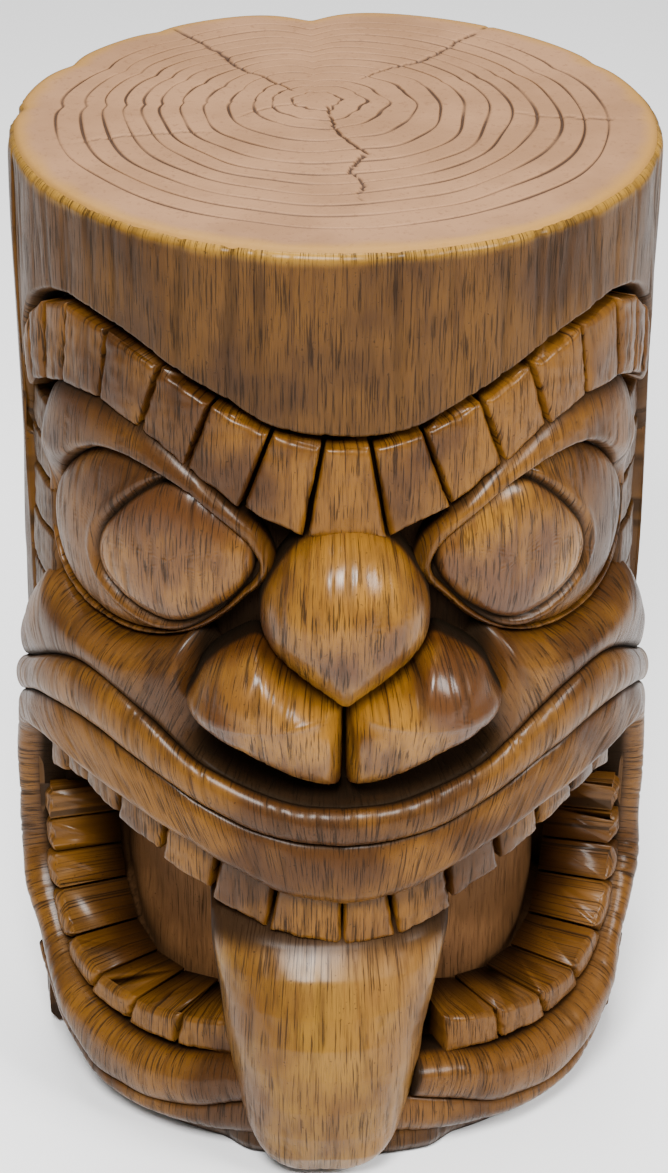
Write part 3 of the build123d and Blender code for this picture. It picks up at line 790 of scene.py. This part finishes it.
def bridgeReach(across, level, r):
    swell = np.sqrt(np.clip(1 - r**2.2, 0, 1))
    full = (bridge["crest"] - bridge["edge"]) * swell
    return bridge["edge"] + full + 0.5 * rough(across, level, 31, 9.0)


def nostrilReach(across, level, r):
    low = ease(270 - level, 0, 20)
    crest = nostril["crest"] - 0.42 * np.clip(nostril["centre"][1] - level, 0, 50)
    swell = np.clip(1 - r ** (2.4 + 6 * low), 0, 1) ** 0.5
    return nostril["edge"] + (crest - nostril["edge"]) * swell + 0.5 * rough(across, level, 33, 9.0)


def makeNose():
    half = bridge["side"]
    outline = curve(half + [(-x, z) for x, z in half[-2:0:-1]], 200, closed=True)
    body = dome(outline, bridge["centre"], bridgeReach, rings=44, place=ahead, glazeAndShadeWidth=15.0)
    makePiece("noseBridge", [body], carvingFinish, "carving", "nose_bridge", cuts=carveCuts)
    for name, side in sides.items():
        outline = curve(nostril["outline"], 220, closed=True) * (side, 1)
        centre = (nostril["centre"][0] * side, nostril["centre"][1])
        body = dome(outline, centre, nostrilReach, rings=44, place=ahead, glazeAndShadeWidth=13.0)
        node = "nostril_" + name.lower()
        makePiece("nostril" + name, [body], carvingFinish, "carving", node, cuts=carveCuts)


# The eyes: a lid all round, a bulging ball, and the iris raised on it
eyeRim = [
    (15.8, 341), (17.2, 349), (19.5, 358), (22, 365.5), (25, 372), (28, 377), (31, 380.5), (34.5, 383.5),
    (38, 385.5), (43, 386.5), (48, 384), (53.5, 376), (58, 366.5), (62.3, 355), (65, 344), (66.2, 333),
    (66.2, 322), (65, 313), (62.7, 305), (59.3, 299), (55, 295.5), (50, 293), (45.5, 292), (40, 293),
    (35.3, 295.5), (31, 299), (27.8, 304), (24.5, 311), (21.5, 318.5), (18.7, 327), (16.5, 334),
]
lidRim = [
    (13, 339), (13.8, 349), (15.6, 359), (18.4, 368), (22.5, 379), (28.7, 392), (38.2, 405), (47.6, 411),
    (58.5, 410), (64, 402), (67, 388), (68.6, 370), (69, 350), (69, 330), (68.2, 312), (65, 299),
    (59.5, 292), (51, 287.8), (45.4, 287), (40.3, 288.5), (35.7, 291.5), (31, 295.5), (27, 301),
    (23, 309), (19, 320), (15.2, 330),
]
iris = [
    (16.4, 345), (17, 352), (19, 359), (21.6, 366), (24.8, 372.5), (28, 377), (31, 378.5), (34, 377),
    (37, 371.5), (40, 364), (43, 355), (45.6, 346), (47, 337), (47.2, 329), (46, 321), (43.5, 315),
    (40.5, 310.5), (37, 307), (33, 305), (29, 307.5), (25, 314), (21.2, 322), (18.6, 330), (16.8, 338),
]
eyeball = dict(at=(41, 338), half=(28, 54), edge=147.0, crest=160.5)
irisAt = (31, 341)


def eyeReach(angle, level):
    (angle0, level0), (wide, tall) = eyeball["at"], eyeball["half"]
    out = np.clip(((angle - angle0) / wide) ** 2 + ((level - level0) / tall) ** 2, 0, 1)
    return eyeball["edge"] + (eyeball["crest"] - eyeball["edge"]) * np.sqrt(1 - out * 0.97)


def lidReach(angle, level, u, v):
    # a thin bead under the eye, and a broad cover over it
    high = ease(level, 345, 374)
    bead = ridge(v, 147.0, 152.5, 142.0, 0.4)
    cover = ridge(v, 151.0, 160.0, 149.0, 0.2, 2.2)
    return bead * (1 - high) + cover * high


# painted shadow of the brow blocks: the top of the lid's cover darkens towards its outer edge
def lidOpen(angle, level, v):
    return 1 - 0.8 * ease(level, 350, 375) * ease(v, 0.5, 0.95)


def irisReach(angle, level, r):
    return eyeReach(abs(angle), level) + 5.6 * np.sqrt(np.clip(1 - r**5, 0, 1)) - 2.4


def makeEyes():
    for name, side in sides.items():
        rim, lid, disc = [curve(points, 260, closed=True) * (side, 1) for points in (eyeRim, lidRim, iris)]
        end = "_" + name.lower()
        ring = strip(rim, lid, lidReach, steps=24, closed=True, glazeAndShadeWidth=3.0, openOf=lidOpen)
        makePiece("eyelid" + name, [ring], bandFinish, "carving", "eyelid" + end, cuts=carveCuts)

        def ballReach(angle, level, r):
            # a groove round the iris, with a bead outside it
            away = distance(angle, level, disc)
            groove = 3.4 * np.exp(-((away / 2.0) ** 2))
            bead = 1.8 * np.exp(-(((away - 5.4) / 2.2) ** 2))
            return eyeReach(abs(angle), level) - 5 * r**16 - (groove - bead)

        # painted shade in the groove round the iris
        def ballOpen(angle, level):
            return 1 - np.exp(-((distance(angle, level, disc) / 2.8) ** 2))

        middle = (eyeball["at"][0] * side, eyeball["at"][1])
        ball = dome(rim, middle, ballReach, rings=56, glazeAndShadeWidth=7.0, openOf=ballOpen)
        makePiece("eyeball" + name, [ball], bandFinish, "carving", "eyeball" + end, cuts=carveCuts)
        face = dome(disc, (irisAt[0] * side, irisAt[1]), irisReach, 140.0, 40, glazeAndShadeWidth=9.0)
        makePiece("iris" + name, [face], carvingFinish, "carving", "iris" + end, cuts=carveCuts)


# Blocks: the brow, the temples and both rows of teeth
browCuts = [
    ((4.2, 407.5), (7.2, 361)), ((13.3, 413), (18.4, 373.5)), ((24.0, 424), (28.7, 390)),
    ((34.0, 437), (38.2, 403.5)), ((46.0, 447), (47.6, 410.5)), ((57.0, 450), (58.5, 408)),
    ((65.0, 443), (65.5, 402)), ((72.0, 430), (70.5, 396)), ((77.0, 411), (74.0, 388)),
]
templeCuts = [384, 362, 341, 315, 288, 268]
upperCuts = {
    "Left": [-0.2, 12.6, 23.6, 34.2, 45.0, 54.8, 63.0, 70.0],
    "Right": [-0.2, 9.0, 19.6, 29.8, 39.4, 49.0, 57.0, 64.5],
}
upperLong = [29.5, 30.5, 27.5, 24.5, 24.0, 26.0, 28.0]
lowerCuts = [
    ((20, 58), (20, 80)), ((33, 57), (32, 75)), ((45, 57.5), (43, 73)), ((56, 62), (53.5, 75)),
    ((67.5, 75), (63.5, 84)), ((76, 95), (71, 101)), ((80.5, 113), (75, 117)), ((81.5, 132), (77, 134)),
    ((81.5, 153), (77.5, 151)),
]
gap = 0.42  # degrees of dark joint at each side of a block


def mirrored(corners, side):
    if side > 0:
        return corners
    a, b, c, d = [(-angle, level) for angle, level in corners]
    return [b, a, d, c]


def makeBrow():
    (top, high), (bottom, low) = browCuts[0]
    keystone = [(gap - top, high), (top - gap, high), (bottom - gap, low), (gap - bottom, low)]
    body = block(keystone, 157.0, 134.0, 100)
    makePiece("browCentre", [body], bandFinish, "carving", "brow_block_centre", cuts=carveCuts)
    for number, (near, far) in enumerate(zip(browCuts, browCuts[1:]), start=1):
        corners = [
            (near[0][0] + gap, near[0][1]), (far[0][0] - gap, far[0][1]),
            (far[1][0] - gap, far[1][1]), (near[1][0] + gap, near[1][1]),
        ]
        for name, side in sides.items():
            body = block(mirrored(corners, side), 156.8, 134.0, 100 + side * number)
            node = "brow_block_%s_%d" % (name.lower(), number)
            makePiece("brow%s%d" % (name, number), [body], bandFinish, "carving", node, cuts=carveCuts)


def makeTemples():
    for name, side in sides.items():
        rows = []
        for number, (high, low) in enumerate(zip(templeCuts, templeCuts[1:])):
            corners = [(66, high - 1), (80, high - 1), (80, low + 1), (66, low + 1)]
            rows.append(block(mirrored(corners, side), 152.5, 138.0, 150 + side * number, 1.8, 0.3))
        node = "temple_blocks_" + name.lower()
        makePiece("temple" + name, rows, logFinish, "carving", node, cuts=carveCuts)


def makeTeeth():
    lip = curve(mouthTop, 200)
    for name, side in sides.items():
        upper, lower = [], []
        for number, (near, far) in enumerate(zip(upperCuts[name], upperCuts[name][1:])):
            a, b, lean = near + gap, far - gap, 1.1 * min(number, 1)
            za, zb = [np.interp(angle, lip[:, 0], lip[:, 1]) + 4 for angle in (a, b)]
            long = upperLong[number]
            corners = [(a - lean, za + 6), (b - 1.1, zb + 6), (b + 1.1, zb - long), (a + lean, za - long)]
            front = 156.0 - 0.6 * number
            corners = mirrored(corners, side)
            upper.append(block(corners, front, 118.0, 200 + side * number, 3.0, 2.0, 0.2))
        for number, (near, far) in enumerate(zip(lowerCuts, lowerCuts[1:])):
            (gumA, crownA), (gumB, crownB) = near, far
            corners = [
                (crownA[0] + gap / 2, crownA[1] + 0.6), (crownB[0], crownB[1] - 0.6),
                (gumB[0] + gap / 2, gumB[1] - 0.6), (gumA[0] + gap, gumA[1] + 0.6),
            ]
            lower.append(block(mirrored(corners, side), 152.5, 114.0, 250 + side * number, 3.4, 0.8, 0.3))
        end = "_teeth_" + name.lower()
        makePiece("upperTeeth" + name, upper, bandFinish, "carving", "upper" + end, cuts=carveCuts)
        makePiece("lowerTeeth" + name, lower, bandFinish, "carving", "lower" + end, cuts=carveCuts)


# The tongue hangs out between the teeth and swells over the chin
tongueShape = dict(
    left=[
        (-64, 158), (-64.5, 140), (-64, 126), (-62, 111), (-60, 96), (-58.5, 80), (-56.5, 66),
        (-54.5, 54), (-51.5, 42), (-47.5, 30), (-42.5, 20), (-36, 11.5), (-28, 7), (-19, 5), (-9, 4.5),
    ],
    right=[
        (54, 158), (53.5, 146), (53, 133), (50.5, 117), (47.5, 102), (44.5, 89), (42.5, 77), (41, 65),
        (38.5, 54), (36.5, 45), (33, 35), (29, 25), (23, 16), (15, 9.5), (4, 5.5), (-7, 4.5),
    ],
    crest=[
        (158, 118), (152, 132), (144, 146), (134, 157), (120, 168), (104, 177), (88, 183), (72, 185.5),
        (52, 184.5), (34, 181), (18, 176), (8, 170), (4, 164),
    ],
)


def makeTongue():
    first, second = curve(tongueShape["left"], 170), curve(tongueShape["right"], 170)
    crest = np.array(tongueShape["crest"], float)[::-1]

    def tongueReach(across, level, u, v):
        top = np.interp(level, crest[:, 0], crest[:, 1])
        edge = np.minimum(138.0 + 20 * ease(60 - level, 0, 50), top - 4)
        low = ease(30 - level, 0, 25)
        swell = np.clip(1 - abs(2 * v - 1) ** (2.3 + 2 * low), 0, 1) ** 0.5
        return edge + (top - edge) * swell + 0.5 * rough(across, level, 41, 12.0)

    # painted shadow under the upper teeth: the tongue's root darkens upwards
    def tongueOpen(across, level, v):
        return 1 - ease(level, 118, 140)

    body = strip(first, second, tongueReach, 108.0, 64, ahead, glazeAndShadeWidth=8.0, ends=False, openOf=tongueOpen)
    makePiece("tongue", [body], tongueFinish, "tongue", "tongue", cuts=tongueCuts)


# The log end: growth rings round an off-centre pith, cracks, and a worn rim
logEnd = dict(face=507.3, underside=496.0, pith=(-9, 30), rim=3.4, groove=1.1, crack=1.8, turns=440, seed=7)
# where the rings lie, in shares of the way out
rings = [0.075, 0.145, 0.21, 0.295, 0.375, 0.45, 0.52, 0.58, 0.645, 0.715, 0.785, 0.86]
ringRows = (-0.012, -0.007, -0.0035, 0.0, 0.0035, 0.007, 0.012)
cracks = [
    (1.2, [(-20, 42), (-32, 58), (-45, 72), (-54, 92), (-66, 112), (-80, 134)]),
    (0.9, [(16, 58), (28, 70), (48, 82), (58, 96), (70, 112), (88, 136)]),
    (
        1.2,
        [
            (-3, 20), (-2, 2), (1, -16), (7, -30), (12, -40), (9, -48), (5, -62), (9, -74), (10, -84),
            (6, -92), (12, -102),
        ],
    ),
    (0.5, [(86, 10), (108, 4), (138, 0), (152, -2)]),
    (0.5, [(-62, -12), (-88, -14), (-114, -20), (-128, -28)]),
    (0.5, [(-18, 24), (-34, 18), (-46, 8)]),
]


def ringGrooves(r, angle):
    # how deep in a ring's groove each place is; the rings fade and thicken as they go round
    deep = np.zeros((len(r), len(angle)))
    for number, ring in enumerate(rings):
        fade = 0.2 * np.sin(angle * (2 + number % 3) + number * 2.1)
        strength = np.clip(0.85 + fade + 0.2 * np.sin(angle * 13 + number), 0.5, 1)
        half = 0.0062 * (0.9 + 0.3 * np.sin(angle * 5 + number * 1.7))
        near = abs(r - ring)[:, None] / half[None]
        deep = np.maximum(deep, np.clip(1 - near**2, 0, 1) * strength[None])
    return deep


def crackLines(x, y):
    split = np.zeros(x.shape)
    for number, (width, points) in enumerate(cracks):
        line = curve(points, 110)
        jogX = rough(line[:, 1], line[:, 0], 60 + number, 1.6)
        jogY = rough(line[:, 0], line[:, 1], 80 + number, 1.6)
        line = line + 0.9 * np.stack([jogX, jogY], 1)
        thin = width * np.sin(np.linspace(0.3, np.pi - 0.15, len(line)))
        for (px, py), w in zip(line, thin):
            near = 1 - ease(np.hypot(x - px, y - py), w * 0.4, w * 0.4 + 0.9)
            split = np.maximum(split, near * min(1.0, 0.35 + w))
    return split


def makeTop():
    # the grid runs out from the pith, so that each ring is one of its own rows
    turns = logEnd["turns"]
    rng = np.random.default_rng(logEnd["seed"])
    rows = set(np.linspace(0.02, 1, 60).tolist())
    for ring in rings:
        rows |= {ring + offset for offset in ringRows}
    r = np.array(sorted(rows))
    angle = np.linspace(0, 2 * np.pi, turns, endpoint=False)
    rim = topRadius - logEnd["rim"] - notched(np.degrees(angle) + 90, logHeight)
    rim = rim + 0.5 * rough(np.cos(angle) * 30, np.sin(angle) * 30, 51, 6.0)
    pithX, pithY = logEnd["pith"]
    wave = np.zeros((len(r), turns))
    for k in range(3, 14):
        phase, drift = rng.uniform(0, 6.28), rng.uniform(-3, 3)
        size = rng.uniform(0.3, 1.0) * 0.008 / k**0.55
        wave += size * np.sin(k * angle[None] + phase + drift * r[:, None] * 6)
    share = r[:, None] + wave * ease(1 - r, 0, 0.12)[:, None] * ease(r, 0, 0.05)[:, None]
    x = pithX + (rim * np.cos(angle) - pithX)[None] * share
    y = pithY + (rim * np.sin(angle) - pithY)[None] * share
    deep, split = ringGrooves(r, angle), crackLines(x, y)
    inward = rim[None] - np.hypot(x, y)
    level = logEnd["face"] - logEnd["groove"] * deep - logEnd["crack"] * split
    level = level + 0.3 * rough(x, y, 55, 8.0) * ease(inward, 0, 8) - ease(-inward, -5, 0) ** 2
    top = np.stack([x, y, level], -1).reshape(-1, 3)
    skirt = np.stack([x[-1], y[-1], np.full(turns, logEnd["underside"])], -1)
    points = np.vstack([[[pithX, pithY, logEnd["face"]]], top, skirt, [[0, 0, logEnd["underside"]]]])
    worn = ease(inward, 1, 10 + 3 * np.clip(rough(x, y, 57, 5.0), -1.5, 1.5))
    shade = np.concatenate([[1], worn.ravel(), np.zeros(turns + 1)])
    part = (points, webFaces(turns, len(r)), shade, points)
    piece = makePiece("logEnd", [part], endFinish, "log_end", "top_disc")
    cut = np.maximum(deep * 0.9, split)
    values = np.concatenate([[0], cut.ravel(), np.zeros(turns + 1)])
    piece.data.attributes.new("cut", "FLOAT", "POINT").data.foreach_set("value", values)


def makeHidden():
    # what is inside and underneath keeps its CAD shape
    slots = {entry["node"]: entry["material_slot"] for entry in frame["record"]["subparts"]}
    made = {name: plainMaterial(name) for name in plainLooks}
    for node, slot in slots.items():
        if slot in made:
            for place in frame["nodes"][node].material_slots:
                place.material = made[slot]


makeLog()
print("log made")
makeLips()
makeNose()
makeEyes()
print("lips, nose and eyes made")
makeBrow()
makeTemples()
makeTeeth()
makeTongue()
print("blocks, teeth and tongue made")
makeTop()
makeHidden()
print("log end made")


# The set: a plain pale floor, soft light from above and from both sides
def makeSet():
    floorMesh = bpy.data.meshes.new("floor")
    half = 6.0
    corners = [(-half, -half, 0), (half, -half, 0), (half, half, 0), (-half, half, 0)]
    floorMesh.from_pydata(corners, [], [(0, 1, 2, 3)])
    floor = bpy.data.objects.new("floor", floorMesh)
    bpy.context.collection.objects.link(floor)
    pale, sheet = startMaterial("paleFloor")
    endMaterial(sheet, {"Base Color": (0.92, 0.92, 0.92, 1), "Roughness": 0.8})
    floorMesh.materials.append(pale)
    world = bpy.data.worlds.new("studio")
    bpy.context.scene.world = world
    world.use_nodes = True
    sky = world.node_tree.nodes["Background"].inputs
    sky[0].default_value = (1, 1, 1, 1)
    sky[1].default_value = 0.4
    lamps = {
        "key": dict(at=(-0.3, -1.7, 2.0), size=0.7, power=125),
        "fill": dict(at=(1.3, -1.2, 1.4), size=0.7, power=55),
        "top": dict(at=(-0.1, 0.5, 2.3), size=1.1, power=62),
    }
    for name, lamp in lamps.items():
        light = bpy.data.lights.new(name, "AREA")
        light.size, light.energy = lamp["size"], lamp["power"]
        thing = bpy.data.objects.new(name, light)
        thing.location = lamp["at"]
        aim = Vector((0, 0, 0.28)) - Vector(lamp["at"])
        thing.rotation_euler = aim.to_track_quat("-Z", "Y").to_euler()
        bpy.context.collection.objects.link(thing)


def makeCamera():
    data = bpy.data.cameras.new("view")
    camera = bpy.data.objects.new("view", data)
    bpy.context.collection.objects.link(camera)
    right, up = Vector((0.99919, -0.03949, 0.00769)), Vector((0.01193, 0.47323, 0.88085))
    behind = right.cross(up)
    camera.matrix_world = Matrix(
        [
            (right.x, up.x, behind.x, -0.0795),
            (right.y, up.y, behind.y, -1.8457),
            (right.z, up.z, behind.z, 1.2441),
            (0, 0, 0, 1),
        ]
    )
    data.sensor_fit = "VERTICAL"
    data.sensor_height = 36.0
    data.lens = 125.2
    bpy.context.scene.camera = camera


makeSet()
makeCamera()
print("set made")
